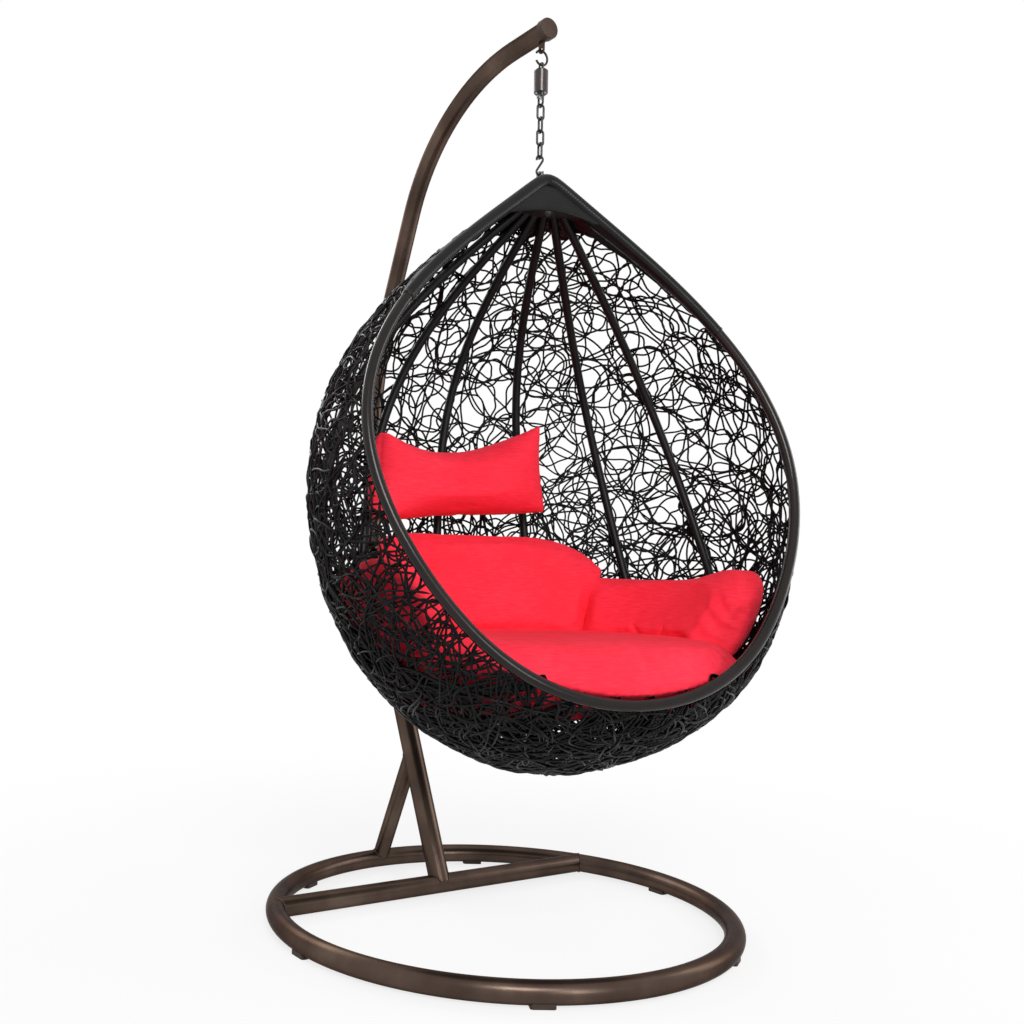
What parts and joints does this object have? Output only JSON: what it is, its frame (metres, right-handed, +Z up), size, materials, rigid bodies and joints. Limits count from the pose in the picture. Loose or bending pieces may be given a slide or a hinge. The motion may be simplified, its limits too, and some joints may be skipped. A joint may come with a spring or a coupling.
{
  "type": "hanging egg chair",
  "caption": "Woven egg chair with red cushions, hung by a spring, swivel and chain from a curved pole on a ring base.",
  "frame": {"origin": "centre of the base ring, on the floor", "axes": "+Z up, the stand faces -Y, the pole leans back towards +Y"},
  "size_m": [1.0327, 1.1095, 1.9547],
  "materials": {
    "stand_paint": "satin bronze-brown powder coat",
    "cap_plastic": "satin brown plastic",
    "pad_rubber": "matte black rubber",
    "zinc_steel": "zinc-plated steel",
    "black_steel": "black plated steel wire",
    "cover_paint": "dark brown paint",
    "rim_paint": "brown-black powder coat",
    "wrap_plastic": "smooth black wrap",
    "rib_paint": "black powder coat",
    "bracket_steel": "grey painted steel",
    "weave_plastic": "satin black resin strand",
    "red_fabric": "plain woven red polyester"
  },
  "bodies": {
    "stand": {"base_ring": "stand_paint", "crossbar": "stand_paint", "lower_pole": "stand_paint", "rear_strut": "stand_paint", "upper_pole": "stand_paint", "pole_joint_bolt": "zinc_steel", "pole_joint_nut": "zinc_steel", "arm_end_cap": "cap_plastic", "hanger_tab": "stand_paint", "floor_pads": "pad_rubber"},
    "top_hook": {"top_hook": "black_steel"},
    "spring_unit": {"spring_top_eye": "black_steel", "spring_cover": "cover_paint", "spring_seat": "zinc_steel", "bounce_spring": "zinc_steel"},
    "plunger": {"plunger_bolt": "zinc_steel", "plunger_washer": "zinc_steel", "swivel_nut": "zinc_steel"},
    "swivel": {"swivel_eye": "black_steel"},
    "link_1": {"chain_link_1": "black_steel"},
    "link_2": {"chain_link_2": "black_steel"},
    "link_3": {"chain_link_3": "black_steel"},
    "link_4": {"chain_link_4": "black_steel"},
    "basket_hook": {"basket_hook": "black_steel"},
    "basket": {"apex_bracket": "bracket_steel", "apex_plate": "bracket_steel", "back_pad": "red_fabric", "head_pillow": "red_fabric", "left_arm_pad": "red_fabric", "left_inner_rib": "rib_paint", "left_middle_rib": "rib_paint", "left_outer_rib": "rib_paint", "right_arm_pad": "red_fabric", "right_inner_rib": "rib_paint", "right_middle_rib": "rib_paint", "right_outer_rib": "rib_paint", "rim_tube": "rim_paint", "rim_wrap": "wrap_plastic", "seat_pad": "red_fabric", "weave_shell": "weave_plastic"}
  },
  "joints": [
    {"name": "hook_swing", "type": "hinge", "parent": "stand", "child": "top_hook", "pos_m": [0, -0.0888, 1.8896], "axis": [1, 0, 0], "range_deg": [-25, 10]},
    {"name": "spring_unit_swing", "type": "hinge", "parent": "top_hook", "child": "spring_unit", "pos_m": [0, -0.0888, 1.8614], "axis": [0, 1, 0], "range_deg": [-12, 12]},
    {"name": "spring_bounce", "type": "slide", "parent": "spring_unit", "child": "plunger", "axis": [0, 0, 1], "range_m": [-0.015, 0], "stiffness_N_per_m": 60000, "springref_m": 0.008, "deforming": ["bounce_spring"]},
    {"name": "swivel_turn", "type": "hinge", "parent": "plunger", "child": "swivel", "pos_m": [0, -0.0888, 1.788], "axis": [0, 0, 1], "continuous": true},
    {"name": "link_1_swing", "type": "hinge", "parent": "swivel", "child": "link_1", "pos_m": [0, -0.0888, 1.762], "axis": [0.2113, 0.9774, 0], "range_deg": [-15, 15]},
    {"name": "link_2_swing", "type": "hinge", "parent": "link_1", "child": "link_2", "pos_m": [0, -0.0888, 1.733], "axis": [0.9774, -0.2113, 0], "range_deg": [-12, 12]},
    {"name": "link_3_swing", "type": "hinge", "parent": "link_2", "child": "link_3", "pos_m": [0, -0.0888, 1.704], "axis": [-0.2113, -0.9774, 0], "range_deg": [-15, 15]},
    {"name": "link_4_swing", "type": "hinge", "parent": "link_3", "child": "link_4", "pos_m": [0, -0.0888, 1.675], "axis": [-0.9774, 0.2113, 0], "range_deg": [-12, 12]},
    {"name": "basket_hook_swing", "type": "hinge", "parent": "link_4", "child": "basket_hook", "pos_m": [0, -0.0888, 1.646], "axis": [0.2113, 0.9774, 0], "range_deg": [-15, 15]},
    {"name": "basket_rock", "type": "hinge", "parent": "basket_hook", "child": "basket", "pos_m": [0, -0.0888, 1.608], "axis": [0.9774, -0.2113, 0], "range_deg": [-12, 12]}
  ]
}
